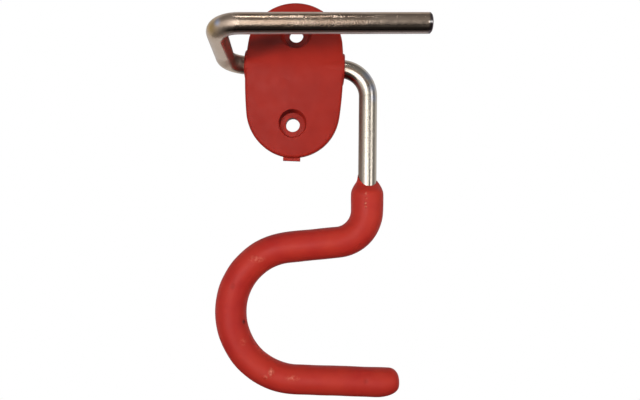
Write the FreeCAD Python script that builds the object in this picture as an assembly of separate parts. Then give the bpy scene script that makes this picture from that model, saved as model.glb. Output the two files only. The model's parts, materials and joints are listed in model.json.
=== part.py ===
import FreeCAD, Part
import math
import os
from FreeCAD import Placement, Rotation, Vector

# Garage utility hook that swivels in a wall plate, in millimetres and degrees.
# The origin lies on the wall, midway between the two screws: +X along the hinge
# line, +Y into the wall, +Z up. It is drawn at rest, hanging down against the wall.

# Rod
rod_d = 8.0
rod_back_gap = 0.6
hinge_z = 5.75

# Arm that stands out in front of the plate, bent from the left end of the rod
arm_bend_r = 9.0
leg_reach = 44.6
leg_in_deg = 1.6
leg_up_deg = 3.9
arm_l = 82.1
arm_back_deg = 5.4
arm_up_deg = 4.3
arm_end_bevel = 0.5

# Hook, bent from the right end: headings turn from +X towards +Z
shoulder_r = 12.2
shank_heading = -88.4
shank_l = 50.1
neck_r = 14.1
top_bar_heading = -172.0
top_bar_l = 21.6
throat_upper_r = 27.7
throat_side_heading = -87.6
throat_lower_r = 29.2
lower_bar_heading = 0.3
lower_bar_l = 44.4

# Soft cover dipped over the hook end, thinner towards the tip
cover_shank_t = 3.1
cover_throat_t = 2.8
cover_bar_t = 2.25
cover_start = 12.5
cover_taper = 5.0
cover_lip_t = 0.4
cover_cap = 2.6
cover_tip_round = 5.2
wall_gap = 0.2

# Wall plate, an oval of four arcs with a crowned face
plate_h = 68.3
plate_end_r = 20.6
side_bulge = 0.7
head_t = 5.2
foot_t = 4.2
crest_round = 40.0
crown_r = 400.0
face_edge_round = 1.3
skin = 2.2
rim = 2.2

# Tunnel across the plate that the rod turns in, with keepers that hold it from behind
rod_play = 0.35
tunnel_wall = 2.25
tunnel_cover = 0.2
tunnel_stand_out = 0.5
tunnel_end_round = 0.8
bend_tuck = 1.3
keeper_bite = 0.45
keeper_l = 5.0
keeper_x = 12.0

# Two screws
screw_pitch = 39.5
screw_hole_d = 6.2
recess_d = 10.8
recess_draft_deg = 15.0
recess_floor = 4.6
boss_wall = 2.0

# Ribs behind the face, and the small tab at the foot
rib_t = 1.6
rib_x = 11.0
rib_setback = 0.4
tab_w = 7.6
tab_drop = 1.4
tab_t = 2.4

# Worked out from the sizes above
rod_r = rod_d / 2
cover_shank_r = rod_r + cover_shank_t
cover_throat_r = rod_r + cover_throat_t
cover_bar_r = rod_r + cover_bar_t
hinge_off_wall = rod_r + rod_back_gap
tunnel_r = rod_r + rod_play
tunnel_outer_r = tunnel_r + tunnel_wall
crest_t = hinge_off_wall + tunnel_outer_r + tunnel_cover
plate_half_w = plate_end_r + side_bulge
tunnel_half_l = plate_half_w + tunnel_stand_out
straight_half_l = tunnel_half_l - bend_tuck
recess_r = recess_d / 2
hinge = Vector(0, -hinge_off_wall, hinge_z)
right = Vector(1, 0, 0)
left = Vector(-1, 0, 0)
front = Vector(0, -1, 0)
back = Vector(0, 1, 0)
up = Vector(0, 0, 1)
past = 1.0
tiny = 0.001


def heading(degrees):
    """Direction in the plane of the hook."""
    turn = math.radians(degrees)
    return Vector(math.cos(turn), 0, math.sin(turn))


def aimed(base, side, side_deg, up_deg):
    """Direction base, swung towards side and then raised."""
    swing = math.radians(side_deg)
    rise = math.radians(up_deg)
    flat = base * math.cos(swing) + side * math.sin(swing)
    return flat * math.cos(rise) + up * math.sin(rise)


def tangent_length(before, after, bend_r):
    """Distance from a bend's ends to the corner that it rounds."""
    return bend_r * math.tan(before.getAngle(after) / 2)


class Track:
    """Centreline of the bent rod, as straight runs and tangent arcs."""

    def __init__(self, start, direction):
        self.point = start
        self.direction = direction
        self.edges = []

    def run(self, length):
        end = self.point + self.direction * length
        self.edges.append(Part.LineSegment(self.point, end).toShape())
        self.point = end

    def turn(self, new_direction, bend_r):
        axis = self.direction.cross(new_direction).normalize()
        angle = math.degrees(self.direction.getAngle(new_direction))
        centre = self.point + axis.cross(self.direction) * bend_r
        spoke = self.point - centre
        middle = centre + Rotation(axis, angle / 2).multVec(spoke)
        end = centre + Rotation(axis, angle).multVec(spoke)
        self.edges.append(Part.Arc(self.point, middle, end).toShape())
        self.point = end
        self.direction = new_direction


def hook_track():
    """Shoulder, shank, neck, top bar, two throat bends and lower bar."""
    track = Track(right * straight_half_l, right)
    track.turn(heading(shank_heading), shoulder_r)
    track.run(shank_l)
    track.turn(heading(top_bar_heading), neck_r)
    track.run(top_bar_l)
    track.turn(heading(throat_side_heading), throat_upper_r)
    track.turn(heading(lower_bar_heading), throat_lower_r)
    track.run(lower_bar_l - cover_cap)
    return track


def arm_track():
    """Leg that comes forward, and the arm across the front of the plate."""
    leg_way = aimed(front, right, leg_in_deg, leg_up_deg)
    arm_way = aimed(right, back, arm_back_deg, arm_up_deg)
    first = tangent_length(left, leg_way, arm_bend_r)
    second = tangent_length(leg_way, arm_way, arm_bend_r)
    track = Track(left * straight_half_l, left)
    track.turn(leg_way, arm_bend_r)
    track.run(leg_reach - first - second)
    track.turn(arm_way, arm_bend_r)
    track.run(arm_l - second)
    return track


def start_of(edge):
    return edge.valueAt(edge.FirstParameter)


def along(edge):
    return edge.tangentAt(edge.FirstParameter)


def bar(edge, radius):
    """Round bar along one straight or arc edge."""
    section = Part.Wire(Part.makeCircle(radius, start_of(edge), along(edge)))
    return Part.Wire(edge).makePipeShell([section], True, True)


def thinning_bar(edge, start_r, end_r):
    """Round bar along one edge that thins evenly on its way."""
    first = Part.Wire(Part.makeCircle(start_r, start_of(edge), along(edge)))
    end_way = edge.tangentAt(edge.LastParameter)
    last = Part.Wire(Part.makeCircle(end_r, edge.valueAt(edge.LastParameter), end_way))
    return Part.Wire(edge).makePipeShell([first, last], True, True)


def joined(shapes):
    """One solid from shapes that share their end faces."""
    return shapes[0].fuse(shapes[1:]).removeSplitter()


def bevel_cutter(end, direction):
    """Ring that takes the sharp edge off the sawn end of the arm."""
    start = end - direction * arm_end_bevel
    ring = Part.makeCylinder(rod_r + past, arm_end_bevel + past, start, direction)
    cone_l = arm_end_bevel + 2 * past
    cone_start = start - direction * past
    cone = Part.makeCone(rod_r + past, rod_r + past - cone_l, cone_l, cone_start, direction)
    return ring.cut(cone)


def flat_rod():
    """Rod with the hinge line on the X axis and the hook in the plane of X and Z."""
    arm = arm_track()
    hook = hook_track()
    straight = Part.LineSegment(left * straight_half_l, right * straight_half_l).toShape()
    rod = joined([bar(edge, rod_r) for edge in arm.edges + [straight] + hook.edges])
    return rod.cut(bevel_cutter(arm.point, arm.direction))


def turned(outline, origin, axis):
    """Solid turned about axis, from lines and arcs of (along, radius) spots."""
    side = axis.cross(back).normalize()
    edges = []
    for stretch in outline:
        spots = [origin + axis * spot[0] + side * spot[1] for spot in stretch]
        curve = Part.LineSegment(*spots) if len(spots) == 2 else Part.Arc(*spots)
        edges.append(curve.toShape())
    return Part.Face(Part.Wire(edges)).revolve(origin, axis, 360)


def cover_top(shank_end, shank_way):
    """Rolled top of the cover, down to the neck bend."""
    lip_r = rod_r + cover_lip_t
    rise = cover_shank_r - lip_r
    roll_r = (cover_taper ** 2 + rise ** 2) / (2 * rise)
    half_turn = math.asin(cover_taper / roll_r) / 2
    bulge_r = cover_shank_r - roll_r * (1 - math.cos(half_turn))
    bulge = (cover_taper - roll_r * math.sin(half_turn), bulge_r)
    outline = [
        [(0, 0), (0, lip_r)],
        [(0, lip_r), bulge, (cover_taper, cover_shank_r)],
        [(cover_taper, cover_shank_r), (cover_start, cover_shank_r)],
        [(cover_start, cover_shank_r), (cover_start, 0)],
        [(cover_start, 0), (0, 0)],
    ]
    return turned(outline, shank_end - shank_way * cover_start, shank_way)


def cover_tip(bar_start, bar_way):
    """Cover of the lower bar, closed with a blunt round end."""
    flat_r = cover_bar_r - cover_tip_round
    shoulder = lower_bar_l - cover_tip_round
    diagonal = cover_tip_round * math.sqrt(0.5)
    corner = (shoulder + diagonal, flat_r + diagonal)
    outline = [
        [(0, 0), (0, cover_bar_r)],
        [(0, cover_bar_r), (shoulder, cover_bar_r)],
        [(shoulder, cover_bar_r), corner, (lower_bar_l, flat_r)],
        [(lower_bar_l, flat_r), (lower_bar_l, 0)],
        [(lower_bar_l, 0), (0, 0)],
    ]
    return turned(outline, bar_start, bar_way)


def flat_cover(rod):
    """Cover round the hook end of the flat rod."""
    shank, neck, top_bar, throat_upper, throat_lower, lower_bar = hook_track().edges[1:]
    solids = [
        cover_top(start_of(neck), along(shank)),
        thinning_bar(neck, cover_shank_r, cover_throat_r),
        bar(top_bar, cover_throat_r),
        bar(throat_upper, cover_throat_r),
        thinning_bar(throat_lower, cover_throat_r, cover_bar_r),
        cover_tip(start_of(lower_bar), along(lower_bar)),
    ]
    return joined(solids).cut(rod)


def rest_lean_deg():
    """How far the hook leans out for its cover to clear the wall."""
    shank = hook_track().edges[1]
    neck_start = shank.valueAt(shank.LastParameter)
    widest = neck_start - along(shank) * (cover_start - cover_taper)
    return math.degrees(math.asin((cover_shank_r + wall_gap - hinge_off_wall) / -widest.z))


def hung(shape):
    """Puts the flat rod or its cover on the hinge line, leaning out at rest."""
    placed = shape.copy()
    placed.Placement = Placement(hinge, Rotation(right, -rest_lean_deg()))
    return placed


def oval_prism(inset, depth):
    """Four-arc oval, drawn in by inset, standing out from the wall."""
    end_r = plate_end_r - inset
    half_w = plate_half_w - inset
    half_h = plate_h / 2 - inset
    end_z = plate_h / 2 - plate_end_r
    side_r = (end_z ** 2 + half_w ** 2 - end_r ** 2) / (2 * (half_w - end_r))
    spoke = Vector(side_r - half_w, 0, end_z).normalize()
    corner = Vector(0, 0, end_z) + spoke * end_r
    quarters = ((1, 1), (-1, 1), (-1, -1), (1, -1))
    corners = [Vector(sx * corner.x, 0, sz * corner.z) for sx, sz in quarters]
    middles = [up * half_h, left * half_w, up * -half_h, right * half_w]
    arcs = [Part.Arc(corners[i], middles[i], corners[(i + 1) % 4]).toShape() for i in range(4)]
    return Part.Face(Part.Wire(arcs)).extrude(front * depth)


def tangent_spot(end, centre, radius, side):
    """Where a line from end touches the crest's circle."""
    spoke = end - centre
    angle = math.degrees(math.acos(radius / spoke.Length))
    return centre + Rotation(right, side * angle).multVec(spoke.normalize()) * radius


def crowned_body():
    """Body with the plate's face: two slopes that meet in a soft crest, crowned across."""
    centre = Vector(0, crest_round - crest_t, hinge_z)
    crest = Vector(0, -crest_t, hinge_z)
    foot = Vector(0, -foot_t, -plate_h / 2)
    head = Vector(0, -head_t, plate_h / 2)
    foot_spot = tangent_spot(foot, centre, crest_round, -1)
    head_spot = tangent_spot(head, centre, crest_round, 1)
    low = foot + (foot - foot_spot).normalize() * past
    high = head + (head - head_spot).normalize() * past
    crown_sag = crown_r - math.sqrt(crown_r ** 2 - (tunnel_half_l + past) ** 2)
    behind = skin + crown_sag + past
    low_back = Vector(0, behind, low.z)
    high_back = Vector(0, behind, high.z)
    edges = [
        Part.LineSegment(low_back, low).toShape(),
        Part.LineSegment(low, foot_spot).toShape(),
        Part.Arc(foot_spot, crest, head_spot).toShape(),
        Part.LineSegment(head_spot, high).toShape(),
        Part.LineSegment(high, high_back).toShape(),
        Part.LineSegment(high_back, low_back).toShape(),
    ]
    axis_spot = Vector(0, crown_r - crest_t, 0)
    half_deg = math.degrees(math.asin((tunnel_half_l + past) / (crown_r - crest_t - behind)))
    face = Part.Face(Part.Wire(edges))
    face.rotate(axis_spot, up, -half_deg)
    return face.revolve(axis_spot, up, 2 * half_deg)


def is_side(face):
    """True for a face that stands square to the wall."""
    umin, umax, vmin, vmax = face.ParameterRange
    return abs(face.normalAt((umin + umax) / 2, (vmin + vmax) / 2).y) < tiny


def plate_block():
    """Solid oval with its face crowned and its front edge rounded."""
    block = oval_prism(0, crest_t + past).common(crowned_body())
    sides = [face for face in block.Faces if is_side(face)]
    front_edges = [edge for side in sides for edge in side.Edges if edge.BoundBox.YMax < -tiny]
    return block.makeFillet(face_edge_round, front_edges)


def tunnel_bar(radius, half_l):
    """Round bar on the hinge line, squared off down to the wall."""
    start = hinge + left * half_l
    round_bar = Part.makeCylinder(radius, 2 * half_l, start, right)
    corner = Vector(-half_l, -hinge_off_wall, hinge_z - radius)
    root = Part.makeBox(2 * half_l, hinge_off_wall, 2 * radius, corner)
    behind = Part.makeBox(2 * half_l, radius, 2 * radius, Vector(-half_l, 0, hinge_z - radius))
    return round_bar.fuse(root).cut(behind).removeSplitter()


def tunnel_block():
    """Outside of the tunnel, with the rims of its two ends eased."""
    block = tunnel_bar(tunnel_outer_r, tunnel_half_l)
    in_front = -hinge_off_wall - tunnel_r
    ends = [edge for edge in block.Edges if edge.BoundBox.XLength < tiny]
    rims = [edge for edge in ends if edge.BoundBox.YMin < in_front]
    return block.makeFillet(tunnel_end_round, rims)


def channel():
    """Space that the rod turns in, narrowed at the keepers near the wall."""
    mouth = rod_r - keeper_bite
    keeper_h = hinge_off_wall - math.sqrt(tunnel_r ** 2 - mouth ** 2)
    space = tunnel_bar(tunnel_r, tunnel_half_l + past)
    for x in (-keeper_x, keeper_x):
        for side in (-1, 1):
            low = hinge_z + mouth if side > 0 else hinge_z - tunnel_r - past
            corner = Vector(x - keeper_l / 2, -keeper_h, low)
            keeper = Part.makeBox(keeper_l, keeper_h + past, tunnel_r - mouth + past, corner)
            space = space.cut(keeper)
    return space


def screw_spots():
    return [up * (screw_pitch / 2), up * (-screw_pitch / 2)]


def drafted(spot, floor_r, start):
    """Cone with the pocket's draft, floor_r at the pocket's floor, from start out past the face."""
    draft = math.tan(math.radians(recess_draft_deg))
    end = crest_t + past
    near_r = floor_r + (start - recess_floor) * draft
    far_r = floor_r + (end - recess_floor) * draft
    return Part.makeCone(near_r, far_r, end - start, spot + front * start, front)


def boss(spot):
    """Wall round a pocket, standing on the wall."""
    return drafted(spot, recess_r + boss_wall, 0)


def recess(spot):
    """Drafted pocket for a screw head, and the screw's hole through its floor."""
    pocket = drafted(spot, recess_r, recess_floor)
    hole = Part.makeCylinder(screw_hole_d / 2, recess_floor + 2 * past, spot + back * past, front)
    return pocket.fuse(hole)


def ribs():
    """Thin walls behind the face, up and down beside the bosses and across through them."""
    depth = crest_t + past
    front_y = -depth - rib_setback
    half_t = rib_t / 2
    upright = [
        Part.makeBox(rib_t, depth, plate_h, Vector(x - half_t, front_y, -plate_h / 2))
        for x in (-rib_x, 0, rib_x)
    ]
    width = 2 * plate_half_w
    across = [
        Part.makeBox(width, depth, rib_t, Vector(-plate_half_w, front_y, spot.z - half_t))
        for spot in screw_spots()
    ]
    return upright + across


def hollow():
    """Space behind the face, less what stands in it."""
    inner = crowned_body()
    inner.translate(back * skin)
    space = oval_prism(rim, crest_t + past).common(inner)
    solids = [tunnel_bar(tunnel_outer_r, tunnel_half_l)]
    solids += [boss(spot) for spot in screw_spots()]
    solids += ribs()
    return space.cut(solids)


def tab():
    """Small tab at the foot of the plate."""
    corner = Vector(-tab_w / 2, -tab_t, -plate_h / 2 - tab_drop)
    return Part.makeBox(tab_w, tab_t, tab_drop + rim, corner)


def wall_plate():
    """Moulded plate: crowned face, rim, tunnel, screw bosses, ribs and tab."""
    plate = plate_block().fuse([tunnel_block(), tab()])
    plate = plate.cut(hollow()).cut(channel())
    plate = plate.cut([recess(spot) for spot in screw_spots()])
    return plate.removeSplitter()


def main():
    os.makedirs("parts", exist_ok=True)
    rod = flat_rod()
    nodes = {
        "wall_plate": wall_plate(),
        "hook_rod": hung(rod),
        "hook_sleeve": hung(flat_cover(rod)),
    }
    for name, shape in nodes.items():
        volume = shape.Volume / 1000
        print(f"{name}: {len(shape.Solids)} solid, valid {shape.isValid()}, {volume:.2f} cm3")
        print(f"  {shape.BoundBox}")
        shape.exportStep(f"parts/{name}.step")
    print(f"rest lean {rest_lean_deg():.2f}")


main()
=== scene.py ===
import json
import math

import bpy
from mathutils import Matrix, Vector, noise


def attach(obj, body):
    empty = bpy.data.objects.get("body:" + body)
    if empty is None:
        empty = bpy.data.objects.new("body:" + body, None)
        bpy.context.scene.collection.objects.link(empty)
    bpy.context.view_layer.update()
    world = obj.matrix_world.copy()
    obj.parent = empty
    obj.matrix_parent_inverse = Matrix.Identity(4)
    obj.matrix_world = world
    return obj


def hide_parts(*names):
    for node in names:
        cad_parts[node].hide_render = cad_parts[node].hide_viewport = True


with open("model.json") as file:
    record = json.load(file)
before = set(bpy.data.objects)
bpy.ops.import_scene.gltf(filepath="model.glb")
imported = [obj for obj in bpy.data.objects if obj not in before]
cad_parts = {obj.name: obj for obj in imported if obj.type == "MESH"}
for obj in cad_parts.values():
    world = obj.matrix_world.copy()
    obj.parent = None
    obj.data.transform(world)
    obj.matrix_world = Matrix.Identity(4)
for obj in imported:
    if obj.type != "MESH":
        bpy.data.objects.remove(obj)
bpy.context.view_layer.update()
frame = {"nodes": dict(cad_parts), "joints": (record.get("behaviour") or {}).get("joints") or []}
print("frame loaded")

millimetre = 0.001


# Camera, where the photograph was taken from

camera = {
    "place": (0.01339, -0.2697, -0.05241),
    "rollDeg": 2.3,
    "lens": 33.75,
    "sensor": 36.0,
    "nearest": 0.01,
}


def addCamera():
    data = bpy.data.cameras.new("photoView")
    data.lens = camera["lens"]
    data.sensor_width = camera["sensor"]
    data.clip_start = camera["nearest"]
    eye = bpy.data.objects.new("photoView", data)
    eye.location = camera["place"]
    eye.rotation_euler = (math.radians(90), math.radians(-camera["rollDeg"]), 0)
    bpy.context.scene.collection.objects.link(eye)
    bpy.context.scene.camera = eye


addCamera()
bpy.context.scene.view_settings.view_transform = "Standard"
print("camera placed")


# Studio: a pale room, soft lamps and a floor well below the hook

room = {
    # height of the direction (-1 down, 1 up) and how bright the room is there
    "brightness": [(-1.0, 0.03), (-0.45, 0.04), (-0.25, 0.12), (0.0, 0.2), (0.6, 0.2), (1.0, 0.12)],
    "backdropStart": 0.05,  # how far towards the back the backdrop begins
    "backdropFull": 0.35,
    "backdropGlow": 0.5,  # how bright it is in reflections, while the camera sees it white
    "leftGlow": 0.22,  # how bright the room is on its left, which the camera doesn't see either
    "leftStart": -0.02,
    "leftFull": -0.3,
    "dullShare": 0.5,  # how much of the room's light reaches the dull surfaces
}
lampAway = 0.8  # unless the lamp gives its own distance
lampAim = Vector((0.0, 0.0, -0.02))
# azimuth runs from straight in front towards +X, height is the angle above level,
# and size is the lamp's width and height
glossLamps = [  # seen only as reflections
    {"name": "leftBox", "azimuth": -62, "height": -2, "size": (0.36, 0.60), "watts": 0.25},
    {"name": "frontLeftBox", "azimuth": -38, "height": -5, "size": (0.24, 0.68), "watts": 0.38},
    {"name": "frontBox", "azimuth": -17, "height": -6, "size": (0.38, 0.68), "watts": 1.7},
    {"name": "frontRightBox", "azimuth": 7, "height": -6, "size": (0.22, 0.64), "watts": 0.46},
    {"name": "rightBox", "azimuth": 47, "height": 2, "size": (0.34, 0.60), "watts": 0.72},
    {"name": "topStrip", "azimuth": -6, "height": 55, "size": (0.30, 0.05), "watts": 0.35},
]
plainLamps = [  # light the dull surfaces and make the shadows
    {"name": "leftKey", "azimuth": -40, "height": -9, "size": (0.14, 0.14), "watts": 2.5},
    {"name": "frontKey", "azimuth": -4, "height": 1, "away": 0.3, "size": (0.05, 0.05), "watts": 0.28},
    {"name": "backFill", "azimuth": 180, "height": 12, "size": (0.40, 0.40), "watts": 2.8},
    {"name": "rightKey", "azimuth": 60, "height": 2, "size": (0.14, 0.14), "watts": 2.4},
]
floorPlane = {
    "height": -0.32,
    "forward": 0.16,
    "side": 0.84,
    "colour": (0.86, 0.86, 0.86, 1.0),
    "glow": 0.45,
    "awayColour": (0.08, 0.08, 0.08, 1.0),  # what it sends back at the object
}


def addNode(tree, kind, **inputs):
    node = tree.nodes.new(kind)
    for name, value in inputs.items():
        node.inputs[name.replace("_", " ")].default_value = value
    return node


def emptyTree(owner):
    owner.use_nodes = True
    owner.node_tree.nodes.clear()
    return owner.node_tree


def mathNode(tree, operation, first, second=None):
    node = tree.nodes.new("ShaderNodeMath")
    node.operation = operation
    for index, value in enumerate((first, second)):
        if isinstance(value, (int, float)):
            node.inputs[index].default_value = value
        elif value is not None:
            tree.links.new(value, node.inputs[index])
    return node.outputs[0]


def rangeNode(tree, value, low, high, toLow=0.0, toHigh=1.0):
    node = tree.nodes.new("ShaderNodeMapRange")
    for name, number in (("From Min", low), ("From Max", high), ("To Min", toLow), ("To Max", toHigh)):
        node.inputs[name].default_value = number
    tree.links.new(value, node.inputs["Value"])
    return node.outputs["Result"]


def mixColour(tree, amount, first, second):
    # on a colour mix, sockets 6 and 7 are the two colours and output 2 is the result
    node = tree.nodes.new("ShaderNodeMix")
    node.data_type = "RGBA"
    tree.links.new(amount, node.inputs["Factor"])
    for socket, value in ((node.inputs[6], first), (node.inputs[7], second)):
        if isinstance(value, tuple):
            socket.default_value = (*value, 1.0)
        else:
            tree.links.new(value, socket)
    return node.outputs[2]


def addRoom():
    world = bpy.data.worlds.new("paleRoom")
    bpy.context.scene.world = world
    tree = emptyTree(world)
    place = tree.nodes.new("ShaderNodeTexCoord")
    axes = tree.nodes.new("ShaderNodeSeparateXYZ")
    tree.links.new(place.outputs["Generated"], axes.inputs[0])
    ramp = tree.nodes.new("ShaderNodeValToRGB")
    tree.links.new(rangeNode(tree, axes.outputs["Z"], -1.0, 1.0), ramp.inputs[0])
    stops = ramp.color_ramp.elements
    while len(stops) < len(room["brightness"]):
        stops.new(0.5)  # its place is set below
    for stop, (height, level) in zip(stops, room["brightness"]):
        stop.position = (height + 1) / 2
        stop.color = (level, level, level, 1)
    path = tree.nodes.new("ShaderNodeLightPath")
    shiny = mathNode(tree, "MAXIMUM", path.outputs["Is Glossy Ray"], path.outputs["Is Transmission Ray"])
    behind = rangeNode(tree, axes.outputs["Y"], room["backdropStart"], room["backdropFull"])
    onLeft = rangeNode(tree, axes.outputs["X"], room["leftStart"], room["leftFull"])
    seen = mixColour(tree, onLeft, ramp.outputs["Color"], (room["leftGlow"],) * 3)
    seen = mixColour(tree, mathNode(tree, "MULTIPLY", shiny, behind), seen, (room["backdropGlow"],) * 3)
    light = tree.nodes.new("ShaderNodeBackground")
    tree.links.new(mixColour(tree, path.outputs["Is Camera Ray"], seen, (1, 1, 1)), light.inputs["Color"])
    clear = mathNode(tree, "MAXIMUM", path.outputs["Is Camera Ray"], shiny)
    tree.links.new(rangeNode(tree, clear, 0.0, 1.0, room["dullShare"], 1.0), light.inputs["Strength"])
    out = tree.nodes.new("ShaderNodeOutputWorld")
    tree.links.new(light.outputs[0], out.inputs["Surface"])


def addLamps(lamps, inGloss):
    for lamp in lamps:
        data = bpy.data.lights.new(lamp["name"], "AREA")
        data.shape = "RECTANGLE"
        data.size, data.size_y = lamp["size"]
        data.energy = lamp["watts"]
        across = math.radians(lamp["azimuth"])
        rise = math.radians(lamp["height"])
        level = math.cos(rise)
        way = Vector((math.sin(across) * level, -math.cos(across) * level, math.sin(rise)))
        holder = bpy.data.objects.new(lamp["name"], data)
        holder.location = lampAim + way * lamp.get("away", lampAway)
        holder.rotation_euler = way.to_track_quat("Z", "Y").to_euler()
        holder.visible_camera = False
        holder.visible_glossy = inGloss
        holder.visible_diffuse = not inGloss
        bpy.context.scene.collection.objects.link(holder)


def addFloor():
    bpy.ops.object.select_all(action="DESELECT")
    bpy.ops.mesh.primitive_plane_add(
        size=floorPlane["side"], location=(0, -floorPlane["forward"], floorPlane["height"]))
    plane = bpy.context.object
    plane.name = "paleFloor"
    material = bpy.data.materials.new("paleFloor")
    tree = emptyTree(material)
    path = tree.nodes.new("ShaderNodeLightPath")
    near = addNode(tree, "ShaderNodeBsdfDiffuse", Color=floorPlane["colour"])
    away = addNode(tree, "ShaderNodeBsdfDiffuse", Color=floorPlane["awayColour"])
    glow = addNode(tree, "ShaderNodeEmission", Strength=floorPlane["glow"])
    pale = tree.nodes.new("ShaderNodeAddShader")
    tree.links.new(near.outputs[0], pale.inputs[0])
    tree.links.new(glow.outputs[0], pale.inputs[1])
    mix = tree.nodes.new("ShaderNodeMixShader")
    tree.links.new(path.outputs["Is Camera Ray"], mix.inputs[0])
    tree.links.new(away.outputs[0], mix.inputs[1])
    tree.links.new(pale.outputs[0], mix.inputs[2])
    out = tree.nodes.new("ShaderNodeOutputMaterial")
    tree.links.new(mix.outputs[0], out.inputs["Surface"])
    plane.data.materials.append(material)


addRoom()
addLamps(glossLamps, inGloss=True)
addLamps(plainLamps, inGloss=False)
addFloor()
print("studio lit")


# Finishes

def pointsOn(tree, scale=1.0, stretch=(1, 1, 1)):
    place = tree.nodes.new("ShaderNodeTexCoord")
    mapping = tree.nodes.new("ShaderNodeMapping")
    mapping.inputs["Scale"].default_value = [scale * share for share in stretch]
    tree.links.new(place.outputs["Object"], mapping.inputs["Vector"])
    return mapping.outputs["Vector"]


def speckle(tree, scale, detail=2.0, roughness=0.5, stretch=(1, 1, 1)):
    texture = addNode(tree, "ShaderNodeTexNoise", Scale=1.0, Detail=detail, Roughness=roughness)
    tree.links.new(pointsOn(tree, scale, stretch), texture.inputs["Vector"])
    return texture.outputs["Fac"]


def bumpOn(tree, height, depth, normal=None):
    node = addNode(tree, "ShaderNodeBump", Strength=1.0, Distance=depth)
    tree.links.new(height, node.inputs["Height"])
    if normal is not None:
        tree.links.new(normal, node.inputs["Normal"])
    return node.outputs["Normal"]


def nearSpot(tree, place, reach, stretch=(1, 1, 1)):
    # 1 at the spot, easing to 0 at its reach
    coordinate = tree.nodes.new("ShaderNodeTexCoord")
    offset = tree.nodes.new("ShaderNodeVectorMath")
    offset.operation = "SUBTRACT"
    offset.inputs[1].default_value = place
    tree.links.new(coordinate.outputs["Object"], offset.inputs[0])
    shaped = tree.nodes.new("ShaderNodeVectorMath")
    shaped.operation = "MULTIPLY"
    shaped.inputs[1].default_value = stretch
    tree.links.new(offset.outputs[0], shaped.inputs[0])
    length = tree.nodes.new("ShaderNodeVectorMath")
    length.operation = "LENGTH"
    tree.links.new(shaped.outputs[0], length.inputs[0])
    ease = tree.nodes.new("ShaderNodeMapRange")
    ease.interpolation_type = "SMOOTHSTEP"
    for name, number in (("From Min", 0.0), ("From Max", reach), ("To Min", 1.0), ("To Max", 0.0)):
        ease.inputs[name].default_value = number
    tree.links.new(length.outputs["Value"], ease.inputs["Value"])
    return ease.outputs["Result"]


def spotsOf(tree, spots, key):
    # each spot's fade times its value under the key, all added up
    total = None
    for spot in spots:
        if key in spot:
            near = nearSpot(tree, spot["place"], spot["reach"], spot.get("stretch", (1, 1, 1)))
            part = mathNode(tree, "MULTIPLY", near, spot[key])
            total = part if total is None else mathNode(tree, "ADD", total, part)
    return total


def roughnessOf(tree, finish, detail=2.0):
    # patchy, between the finish's lowest and highest roughness
    patches = speckle(tree, finish["roughScale"], detail=detail)
    return rangeNode(tree, patches, *finish["roughRange"], finish["roughLow"], finish["roughHigh"])


def startFinish(name):
    material = bpy.data.materials.new(name)
    tree = emptyTree(material)
    shader = tree.nodes.new("ShaderNodeBsdfPrincipled")
    out = tree.nodes.new("ShaderNodeOutputMaterial")
    tree.links.new(shader.outputs[0], out.inputs["Surface"])
    return material, tree, shader


mouldedRed = {
    "light": (0.41, 0.022, 0.012),
    "dark": (0.36, 0.018, 0.010),
    "specular": 0.24,
    "cloudScale": 90,  # the scales count a pattern's lumps in a metre, roughly
    "cloudRange": (0.35, 0.65),
    "roughLow": 0.4,
    "roughHigh": 0.54,
    "roughScale": 260,
    "roughRange": (0.3, 0.7),
    "grainDepth": 0.00003,
    "grainScale": 2600,
    "sinkDepth": 0.0001,
    "sinkScale": 70,
    "edgeRound": 0.0005,
    "edgeSamples": 6,
    "paintedPocketShade": (0.125, 0.009, 0.008),  # painted shade in the lower pocket, on its upper left wall, where its shadow falls
    "paintedShadeWay": (0.68, 0.0, -0.73),
    "paintedShadeTurn": (0.40, 0.85),
    "pocket": (0.0, -0.0065, -0.01975),
    "pocketReach": 0.014,
    "pocketFull": 0.5,  # the share of the fade at which the painted shade is at its full strength
}


def plateFinish():
    material, tree, shader = startFinish("mouldedRed")
    shader.inputs["Specular IOR Level"].default_value = mouldedRed["specular"]
    cloud = rangeNode(tree, speckle(tree, mouldedRed["cloudScale"], detail=4), *mouldedRed["cloudRange"])
    colour = mixColour(tree, cloud, mouldedRed["dark"], mouldedRed["light"])
    # painted shade on the lower pocket's upper left wall
    place = tree.nodes.new("ShaderNodeTexCoord")
    turned = tree.nodes.new("ShaderNodeVectorMath")
    turned.operation = "DOT_PRODUCT"
    turned.inputs[1].default_value = mouldedRed["paintedShadeWay"]
    tree.links.new(place.outputs["Normal"], turned.inputs[0])
    onWall = rangeNode(tree, turned.outputs["Value"], *mouldedRed["paintedShadeTurn"])
    near = nearSpot(tree, mouldedRed["pocket"], mouldedRed["pocketReach"])
    inPocket = rangeNode(tree, near, 0.0, mouldedRed["pocketFull"])
    colour = mixColour(tree, mathNode(tree, "MULTIPLY", onWall, inPocket), colour, mouldedRed["paintedPocketShade"])
    tree.links.new(colour, shader.inputs["Base Color"])
    tree.links.new(roughnessOf(tree, mouldedRed), shader.inputs["Roughness"])
    edges = addNode(tree, "ShaderNodeBevel", Radius=mouldedRed["edgeRound"])
    edges.samples = mouldedRed["edgeSamples"]
    sinks = bumpOn(tree, speckle(tree, mouldedRed["sinkScale"]), mouldedRed["sinkDepth"], edges.outputs[0])
    grain = bumpOn(tree, speckle(tree, mouldedRed["grainScale"]), mouldedRed["grainDepth"], sinks)
    tree.links.new(grain, shader.inputs["Normal"])
    return material


def farthestRight(piece):
    corners = [piece.matrix_world @ vertex.co for vertex in piece.data.vertices]
    reach = max(corner.x for corner in corners)
    end = [corner for corner in corners if corner.x > reach - millimetre]
    return sum(end, Vector()) / len(end)


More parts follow.
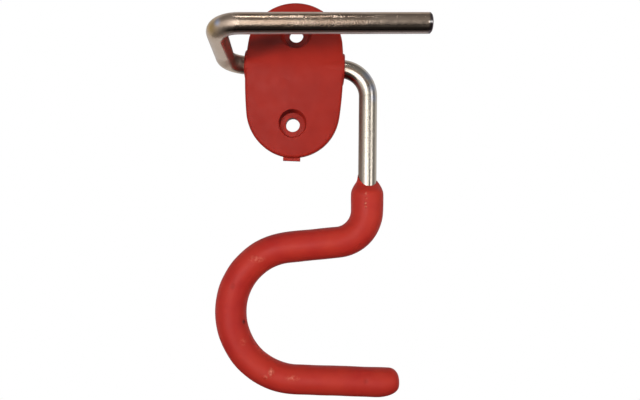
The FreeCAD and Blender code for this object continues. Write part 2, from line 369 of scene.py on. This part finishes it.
sawnEnd = farthestRight(frame["nodes"]["hook_rod"])
sawnBand = (-0.0013, -0.0005)  # from the end of the arm back along it
platedSteel = {
    "bright": (0.82, 0.64, 0.50),
    "streak": (0.60, 0.43, 0.31),
    "pale": (0.80, 0.71, 0.60),  # the shank
    "gold": (0.70, 0.47, 0.20),
    "blue": (0.64, 0.68, 0.84),
    "hazeAndShade": (0.44, 0.34, 0.27),  # painted shade on the inner sides of the shank and the leg, and two darker, duller patches
    "sawn": (0.20, 0.15, 0.17),
    "burrGlint": (1.0, 0.98, 0.95),  # a burr on the sawn edge, whitened as a painted glint
    "streakScale": 420,
    "streakStretch": (0.12, 1, 0.12),
    "streakRange": (0.40, 0.64),
    "roughLow": 0.11,
    "roughHigh": 0.24,
    "roughScale": 420,
    "roughRange": (0.35, 0.65),
    "pitScale": 1700,
    "pitDepth": 0.000010,
    "pitShare": 0.4,  # the share of that depth which the pits have everywhere
    "pitted": 13.0,  # how many times that depth the rough patches add
    "dull": 0.36,  # extra roughness where the plating has gone dull
    "shankSide": (0.018, 0.030),  # how far to the right the warm plating turns pale
    "frontEdge": (-0.020, -0.012),  # only on the shank's depth, not on the arm
    "legSide": (-0.026, -0.018),  # the drawn streaks begin past the leg
    "legBack": (-0.020, -0.024),  # the leg lies past this, to the left
    "shade": (0.110, 0.080, 0.066),  # painted shade where the rod faces down, standing in for the dark room mirrored there
    "film": (0.72, 0.58, 0.55),  # a painted reflection of the pale floor, a pale line down the middle of the painted shade
    "shadeReach": (-0.50, -0.76),  # how far the surface faces down where each begins and is full
    "filmReach": (-0.910, -0.975),
    "unmetalReach": (-0.80, -0.90),
    "unmetalShare": 0.85,  # how much less the painted reflection and the middle of the painted shade look like metal
    "shadeAndReflectionStart": (-0.0255, -0.0205),  # the painted shade and the painted reflection both begin past the bend at the left
    "inward": (-0.35, -0.80),  # how far the shank's surface faces left
    "legInward": (0.45, 0.7),  # how far the leg's surface faces right
    "burrDepth": 0.00012,
}
rodSpots = [
    # tints at the bends, dull patches, darker and duller patches, a burr on the sawn edge whitened as a
    # painted glint, and rough patches where the highlights break up
    {"place": (-0.0269, -0.0498, 0.0112), "reach": 0.0022, "blue": 1.0},
    {"place": (-0.0298, -0.0472, 0.0100), "reach": 0.0055, "gold": 1.0},
    {"place": (-0.0270, -0.0486, 0.0083), "reach": 0.0080, "dull": 1.0},
    {"place": (-0.0278, -0.0161, 0.0035), "reach": 0.0080, "dull": 1.0},
    {"place": (-0.0235, -0.0085, 0.0060), "reach": 0.0060, "hazeAndShade": 1.0},
    {"place": (-0.0225, -0.0503, 0.0117), "reach": 0.0065, "hazeAndShade": 0.8},
    {"place": (0.0523, -0.0449, 0.0161), "reach": 0.0010, "burrGlint": 1.0},
    {"place": (0.0321, -0.0080, 0.0025), "reach": 0.0040, "blue": 0.8},
    {"place": (0.0345, -0.0085, -0.0025), "reach": 0.0034, "blue": 0.9},
    {"place": (0.0354, -0.0088, -0.0070), "reach": 0.0030, "blue": 0.8},
    {"place": (0.0090, -0.0490, 0.0110), "reach": 0.0200, "stretch": (0.5, 1, 1.5), "rough": 1.0},
    {"place": (0.0345, -0.0090, -0.0250), "reach": 0.0080, "stretch": (1, 1, 0.3), "rough": 0.7},
]


def rodFinish():
    material, tree, shader = startFinish("platedSteel")
    place = tree.nodes.new("ShaderNodeTexCoord")
    axes = tree.nodes.new("ShaderNodeSeparateXYZ")
    tree.links.new(place.outputs["Object"], axes.inputs[0])
    drawn = speckle(
        tree, platedSteel["streakScale"], detail=5, roughness=0.6, stretch=platedSteel["streakStretch"])
    streaks = rangeNode(tree, drawn, *platedSteel["streakRange"])
    pastLeg = rangeNode(tree, axes.outputs["X"], *platedSteel["legSide"])
    streaks = mathNode(tree, "MULTIPLY", streaks, pastLeg)
    colour = mixColour(tree, streaks, platedSteel["bright"], platedSteel["streak"])
    onRight = rangeNode(tree, axes.outputs["X"], *platedSteel["shankSide"])
    notInFront = rangeNode(tree, axes.outputs["Y"], *platedSteel["frontEdge"])
    shank = mathNode(tree, "MULTIPLY", onRight, notInFront)
    colour = mixColour(tree, shank, colour, platedSteel["pale"])
    facing = tree.nodes.new("ShaderNodeSeparateXYZ")
    tree.links.new(place.outputs["Normal"], facing.inputs[0])
    # darker, duller plating, with painted shade on the sides that face the plate
    hazeAndShadeMask = spotsOf(tree, rodSpots, "hazeAndShade")
    for way, reach, where in (
            ("X", "inward", shank),
            ("X", "legInward", rangeNode(tree, axes.outputs["X"], *platedSteel["legBack"]))):
        turned = rangeNode(tree, facing.outputs[way], *platedSteel[reach])
        hazeAndShadeMask = mathNode(tree, "MAXIMUM", hazeAndShadeMask, mathNode(tree, "MULTIPLY", turned, where))
    colour = mixColour(tree, hazeAndShadeMask, colour, platedSteel["hazeAndShade"])
    # painted shade and a painted reflection along the rod's undersides
    pastBend = rangeNode(tree, axes.outputs["X"], *platedSteel["shadeAndReflectionStart"])
    for layer in ("shade", "film"):
        covered = rangeNode(tree, facing.outputs["Z"], *platedSteel[layer + "Reach"])
        covered = mathNode(tree, "MULTIPLY", covered, pastBend)
        colour = mixColour(tree, covered, colour, platedSteel[layer])
    unmetal = rangeNode(tree, facing.outputs["Z"], *platedSteel["unmetalReach"])
    unmetal = mathNode(tree, "MULTIPLY", unmetal, pastBend)
    metal = rangeNode(tree, unmetal, 0.0, 1.0, 1.0, 1 - platedSteel["unmetalShare"])
    tree.links.new(metal, shader.inputs["Metallic"])
    for tint in ("gold", "blue"):
        colour = mixColour(tree, spotsOf(tree, rodSpots, tint), colour, platedSteel[tint])
    end = rangeNode(tree, axes.outputs["X"], *(sawnEnd.x + back for back in sawnBand))
    colour = mixColour(tree, end, colour, platedSteel["sawn"])
    # the burr's bump, whitened as a painted glint
    burrAndGlint = spotsOf(tree, rodSpots, "burrGlint")
    colour = mixColour(tree, burrAndGlint, colour, platedSteel["burrGlint"])
    tree.links.new(colour, shader.inputs["Base Color"])
    rough = roughnessOf(tree, platedSteel, detail=4)
    dull = mathNode(tree, "MAXIMUM", spotsOf(tree, rodSpots, "dull"), hazeAndShadeMask)
    dull = mathNode(tree, "MULTIPLY", dull, platedSteel["dull"])
    tree.links.new(mathNode(tree, "ADD", rough, dull), shader.inputs["Roughness"])
    worn = mathNode(tree, "MULTIPLY", spotsOf(tree, rodSpots, "rough"), platedSteel["pitted"])
    worn = mathNode(tree, "ADD", worn, platedSteel["pitShare"])
    grain = mathNode(tree, "MULTIPLY", speckle(tree, platedSteel["pitScale"]), worn)
    pits = bumpOn(tree, grain, platedSteel["pitDepth"])
    tree.links.new(bumpOn(tree, burrAndGlint, platedSteel["burrDepth"], pits), shader.inputs["Normal"])
    return material


dippedRed = {
    "light": (0.56, 0.036, 0.021),
    "dark": (0.48, 0.022, 0.016),
    "scar": (0.10, 0.008, 0.006),
    # paler on the drips and small marks, a painted glint
    "pale": (0.84, 0.26, 0.17),
    "specular": 0.3,
    "cloudScale": 70,
    "cloudRange": (0.35, 0.65),
    "fleckScale": 900,
    "fleckRange": (0.42, 0.62),
    "roughLow": 0.42,
    "roughHigh": 0.54,
    "roughScale": 200,
    "roughRange": (0.3, 0.7),
    "lumpDepth": 0.0001,
    "lumpScale": 180,
    "spotDepth": 0.0004,
}
sleeveSpots = [
    # a nick at the inner edge, two dimples, and drips whose paler colour is a painted glint
    {"place": (-0.0169, -0.0137, -0.1056), "reach": 0.0015, "rise": -1.0, "scar": 1.0},
    {"place": (-0.0221, -0.0162, -0.0904), "reach": 0.0018, "rise": -0.5, "scar": 0.25},
    {"place": (0.0358, -0.0174, -0.1279), "reach": 0.0018, "rise": -0.4, "scar": 0.2},
    {"place": (-0.0125, -0.0156, -0.0784), "reach": 0.0034, "stretch": (0.7, 1, 1.6),
     "rise": 0.5, "pale": 0.45},
    {"place": (-0.0042, -0.0173, -0.1257), "reach": 0.0022, "stretch": (1.3, 1, 0.8),
     "rise": 1.0, "pale": 1.0},
    {"place": (-0.0065, -0.0176, -0.1278), "reach": 0.0014, "rise": 0.8, "pale": 1.0},
    {"place": (0.0051, -0.0173, -0.1279), "reach": 0.0030, "stretch": (0.7, 1, 1.8),
     "rise": 0.5, "pale": 0.6},
    {"place": (-0.0164, -0.0163, -0.1136), "reach": 0.0022, "rise": 0.4, "pale": 0.3},
    {"place": (0.0329, -0.0144, -0.0487), "reach": 0.0009, "rise": 0.5, "pale": 1.0},
    {"place": (0.0330, -0.0145, -0.0509), "reach": 0.0008, "rise": 0.5, "pale": 0.8},
    {"place": (0.0328, -0.0145, -0.0530), "reach": 0.0008, "rise": 0.5, "pale": 1.0},
    {"place": (0.0330, -0.0146, -0.0544), "reach": 0.0008, "rise": 0.5, "pale": 1.0},
]


def sleeveFinish():
    material, tree, shader = startFinish("dippedRed")
    shader.inputs["Specular IOR Level"].default_value = dippedRed["specular"]
    cloud = rangeNode(tree, speckle(tree, dippedRed["cloudScale"], detail=3), *dippedRed["cloudRange"])
    colour = mixColour(tree, cloud, dippedRed["dark"], dippedRed["light"])
    flecks = rangeNode(tree, speckle(tree, dippedRed["fleckScale"], detail=3), *dippedRed["fleckRange"])
    colour = mixColour(tree, spotsOf(tree, sleeveSpots, "scar"), colour, dippedRed["scar"])
    # the drips' paler colour is a painted glint
    dripGlints = mathNode(tree, "MULTIPLY", spotsOf(tree, sleeveSpots, "pale"), flecks)
    colour = mixColour(tree, dripGlints, colour, dippedRed["pale"])
    tree.links.new(colour, shader.inputs["Base Color"])
    tree.links.new(roughnessOf(tree, dippedRed), shader.inputs["Roughness"])
    lumps = bumpOn(tree, speckle(tree, dippedRed["lumpScale"], detail=1), dippedRed["lumpDepth"])
    spots = bumpOn(tree, spotsOf(tree, sleeveSpots, "rise"), dippedRed["spotDepth"], lumps)
    tree.links.new(spots, shader.inputs["Normal"])
    return material


frame["nodes"]["wall_plate"].material_slots[0].material = plateFinish()
frame["nodes"]["hook_rod"].material_slots[0].material = rodFinish()
print("plate and rod finished")


# Dipped sleeve: grown ring by ring along the bent rod, then shaped by its coat's thickness

rodLine = {
    "straightHalf": 0.0205,
    "shoulderRadius": 0.0122,
    "shankHeading": -88.4,
    "shankLength": 0.0501,
    "restLean": 2.84,
    "radius": 0.004,
}
sleeve = {
    "start": 0.0125,  # how far before the neck bend the coat begins
    "neckRadius": 0.0141,
    "topBarHeading": -172.0,
    "topBarLength": 0.0216,
    "upperRadius": 0.0277,
    "sideHeading": -87.6,
    "lowerRadius": 0.0292,
    "barHeading": 0.3,
    "barLength": 0.0444,
    "rodEnd": 0.0026,  # coat over the end of the rod
    "lip": 0.0001,
    "shankThick": 0.0031,
    "throatThick": 0.0028,
    "barThick": 0.00225,
    "taper": 0.0050,
    "tipDeep": 0.0050,
    "tipAbove": 0.0042,
    "tipBelow": 0.0098,
    "frontDip": 0.0019,
    "backRise": 0.0016,
    "sideRise": 0.0008,
    "dipReach": 0.0060,
    "filmRise": 0.0034,
    "filmReach": 0.0004,
    "weld": 0.00001,
    "slope": 1.6,
    "frontRound": 0.6,  # powers that shape the edge's dip in front and its rise behind and at the sides
    "backRound": 2,
    "sideRound": 4,
    "filmRound": 2,
    "sides": 48,
    "ringGap": 0.0016,
    "fewestSteps": 4,
    "lumpSize": 0.0075,
    "lumpHigh": 0.0001,
}
lipSteps = [0.15, 0.35, 0.6, 0.8, 0.9, 1.0, 1.2]  # millimetres
tipSteps = [1.4, 1.3, 1.2, 1.1, 1.0, 0.9, 0.8, 0.7, 0.5, 0.35, 0.2, 0.05]  # millimetres


def headingWay(degrees):
    turn = math.radians(degrees)
    return Vector((math.cos(turn), 0, math.sin(turn)))


def evenSteps(length, gap):
    count = max(1, round(length / gap))
    return [length / count] * count


def runMove(steps):
    return {"steps": steps}


def turnMove(heading, radius):
    return {"heading": heading, "radius": radius}


def sleeveStart():
    centre = Vector((rodLine["straightHalf"], 0, -rodLine["shoulderRadius"]))
    way = headingWay(rodLine["shankHeading"])
    shankStart = centre + Vector((-way.z, 0, way.x)) * rodLine["shoulderRadius"]
    return shankStart + way * (rodLine["shankLength"] - sleeve["start"])


def sleeveMoves(barLength, ends):
    lip = [step * millimetre for step in lipSteps] if ends else []
    tip = [step * millimetre for step in tipSteps] if ends else []
    gap = sleeve["ringGap"] if ends else 2 * sleeve["ringGap"]
    return [
        runMove(lip + evenSteps(sleeve["start"] - sum(lip), gap)),
        turnMove(sleeve["topBarHeading"], sleeve["neckRadius"]),
        runMove(evenSteps(sleeve["topBarLength"], gap)),
        turnMove(sleeve["sideHeading"], sleeve["upperRadius"]),
        turnMove(sleeve["barHeading"], sleeve["lowerRadius"]),
        runMove(evenSteps(barLength - sum(tip), gap) + tip),
    ]


def walk(moves):
    # each stretch of the centreline, with where it starts and how far along it is
    place = sleeveStart()
    heading = rodLine["shankHeading"]
    travelled = 0.0
    stretches = []
    for move in moves:
        way = headingWay(heading)
        stretch = {"from": place.copy(), "way": way, "at": travelled}
        if "steps" in move:
            stretch["length"] = sum(move["steps"])
            stretch["steps"] = move["steps"]
            place = place + way * stretch["length"]
        else:
            sweep = (move["heading"] - heading + 180) % 360 - 180
            side = Vector((-way.z, 0, way.x)) * (1 if sweep > 0 else -1)
            centre = place + side * move["radius"]
            stretch.update(centre=centre, radius=move["radius"], sweep=math.radians(sweep))
            stretch["length"] = move["radius"] * abs(stretch["sweep"])
            heading = move["heading"]
            place = turnedAbout(place, centre, stretch["sweep"])
        travelled += stretch["length"]
        stretches.append(stretch)
    return stretches


def turnedAbout(spot, centre, angle):
    # a positive angle turns from +X towards +Z
    return centre + Matrix.Rotation(-angle, 3, "Y") @ (spot - centre)


def growTube(name, radius, stretches, gap):
    first = stretches[0]
    heading = rodLine["shankHeading"]
    bpy.ops.object.select_all(action="DESELECT")
    bpy.ops.mesh.primitive_circle_add(
        vertices=sleeve["sides"], radius=radius, location=first["from"],
        rotation=(0, math.radians(90 - heading), 0))
    tube = bpy.context.object
    tube.name = name
    bpy.ops.object.transform_apply(location=True, rotation=True, scale=True)
    bpy.ops.object.mode_set(mode="EDIT")
    bpy.ops.mesh.select_all(action="SELECT")
    for stretch in stretches:
        if "steps" in stretch:
            for step in stretch["steps"]:
                bpy.ops.mesh.extrude_region_move(TRANSFORM_OT_translate={"value": stretch["way"] * step})
        else:
            steps = max(sleeve["fewestSteps"], round(stretch["length"] / gap))
            bpy.ops.mesh.spin(steps=steps, angle=stretch["sweep"], center=stretch["centre"], axis=(0, 1, 0))
    bpy.ops.mesh.edge_face_add()
    bpy.ops.object.mode_set(mode="OBJECT")
    return tube


def nearestOn(stretches, point):
    best = None
    for stretch in stretches:
        if "steps" in stretch:
            along = min(max((point - stretch["from"]).dot(stretch["way"]), 0.0), stretch["length"])
            spot = stretch["from"] + stretch["way"] * along
            way = stretch["way"]
        else:
            spoke = stretch["from"] - stretch["centre"]
            flat = Vector((point.x, 0, point.z)) - stretch["centre"]
            angle = math.atan2(spoke.x * flat.z - spoke.z * flat.x, spoke.x * flat.x + spoke.z * flat.z)
            sweep = stretch["sweep"]
            angle = min(max(angle, min(0.0, sweep)), max(0.0, sweep))
            spot = turnedAbout(stretch["from"], stretch["centre"], angle)
            way = Matrix.Rotation(-angle, 3, "Y") @ stretch["way"]
            along = abs(angle) * stretch["radius"]
        gap = (point - spot).length
        if best is None or gap < best[0]:
            best = (gap, stretch["at"] + along, spot, way)
    return best[1:]


def coatRadius(along, out, stretches):
    rod = rodLine["radius"]
    shank = rod + sleeve["shankThick"]
    throat = rod + sleeve["throatThick"]
    bar = rod + sleeve["barThick"]
    neck, topBar, _, lower, lowerBar = stretches[1:]
    if along < sleeve["taper"]:
        lip = rod + sleeve["lip"]
        return shank - (shank - lip) * (1 - along / sleeve["taper"]) ** sleeve["slope"]
    if along < topBar["at"]:
        share = max(0.0, (along - neck["at"]) / neck["length"])
        return shank + (throat - shank) * share
    if along < lower["at"]:
        return throat
    share = min(1.0, (along - lower["at"]) / lower["length"])
    radius = throat + (bar - throat) * share
    below = (1 - out.z) / 2
    corner = sleeve["tipAbove"] + (sleeve["tipBelow"] - sleeve["tipAbove"]) * below
    past = along - (lowerBar["at"] + lowerBar["length"] - corner)
    if past > 0:
        radius -= sleeve["tipDeep"] * (1 - math.sqrt(max(0.0, 1 - (past / corner) ** 2)))
    return radius


def rimShift(along, out):
    # the coat's top edge hangs lower in front and runs up as a thin film behind and at the left
    fade = max(0.0, 1 - along / sleeve["dipReach"])
    front = max(0.0, -out.y)
    behind = max(0.0, out.y)
    filmFade = max(0.0, 1 - along / sleeve["filmReach"])
    film = filmFade * max(behind / 2, -out.x, 0.0) ** sleeve["filmRound"]
    dip = sleeve["frontDip"] * front ** sleeve["frontRound"]
    rise = sleeve["backRise"] * behind ** sleeve["backRound"]
    sideRise = sleeve["sideRise"] * out.x ** sleeve["sideRound"]
    return fade * (dip - rise - sideRise) - film * sleeve["filmRise"]


def shapeCoat(tube, stretches):
    for vertex in tube.data.vertices:
        along, spot, _ = nearestOn(stretches, vertex.co)
        out = vertex.co - spot
        if along < sleeve["weld"] or out.length < sleeve["weld"]:
            continue
        out.normalize()
        lump = sleeve["lumpHigh"] * noise.noise(vertex.co / sleeve["lumpSize"])
        vertex.co = spot + out * (coatRadius(along, out, stretches) + lump)


def tiltRim(tube, stretches):
    for vertex in tube.data.vertices:
        along, spot, way = nearestOn(stretches, vertex.co)
        if along < sleeve["dipReach"]:
            vertex.co += way * rimShift(along, (vertex.co - spot).normalized())


def joinTops(outside, inside):
    bpy.ops.object.select_all(action="DESELECT")
    inside.select_set(True)
    outside.select_set(True)
    bpy.context.view_layer.objects.active = outside
    bpy.ops.object.join()
    bpy.ops.object.mode_set(mode="EDIT")
    bpy.ops.mesh.select_all(action="DESELECT")
    bpy.ops.mesh.select_mode(type="EDGE")
    bpy.ops.mesh.select_non_manifold(extend=False)
    bpy.ops.mesh.remove_doubles(threshold=sleeve["weld"])
    bpy.ops.mesh.select_all(action="SELECT")
    bpy.ops.mesh.normals_make_consistent(inside=False)
    bpy.ops.object.mode_set(mode="OBJECT")


def hang(piece):
    # from the flat drawing of the hook to its place on the hinge line, leaning out at rest
    hinge = Vector(frame["joints"][0]["pos_m"])
    lean = Matrix.Rotation(math.radians(-rodLine["restLean"]), 4, "X")
    piece.data.transform(Matrix.Translation(hinge) @ lean)


def addSleeve():
    outerPath = walk(sleeveMoves(sleeve["barLength"], True))
    outside = growTube("dipped_sleeve", rodLine["radius"], outerPath, sleeve["ringGap"])
    shapeCoat(outside, outerPath)
    tiltRim(outside, outerPath)
    print("sleeve shaped")
    innerPath = walk(sleeveMoves(sleeve["barLength"] - sleeve["rodEnd"], False))
    inside = growTube("sleeve_bore", rodLine["radius"], innerPath, 2 * sleeve["ringGap"])
    tiltRim(inside, innerPath)
    joinTops(outside, inside)
    smooth = outside.modifiers.new("smooth", "SUBSURF")
    smooth.levels = 1
    smooth.render_levels = 1
    bpy.ops.object.modifier_apply(modifier="smooth")
    hang(outside)
    bpy.ops.object.shade_smooth()
    outside.data.materials.append(sleeveFinish())
    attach(outside, "hook")
    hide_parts("hook_sleeve")


addSleeve()
print("sleeve hung")
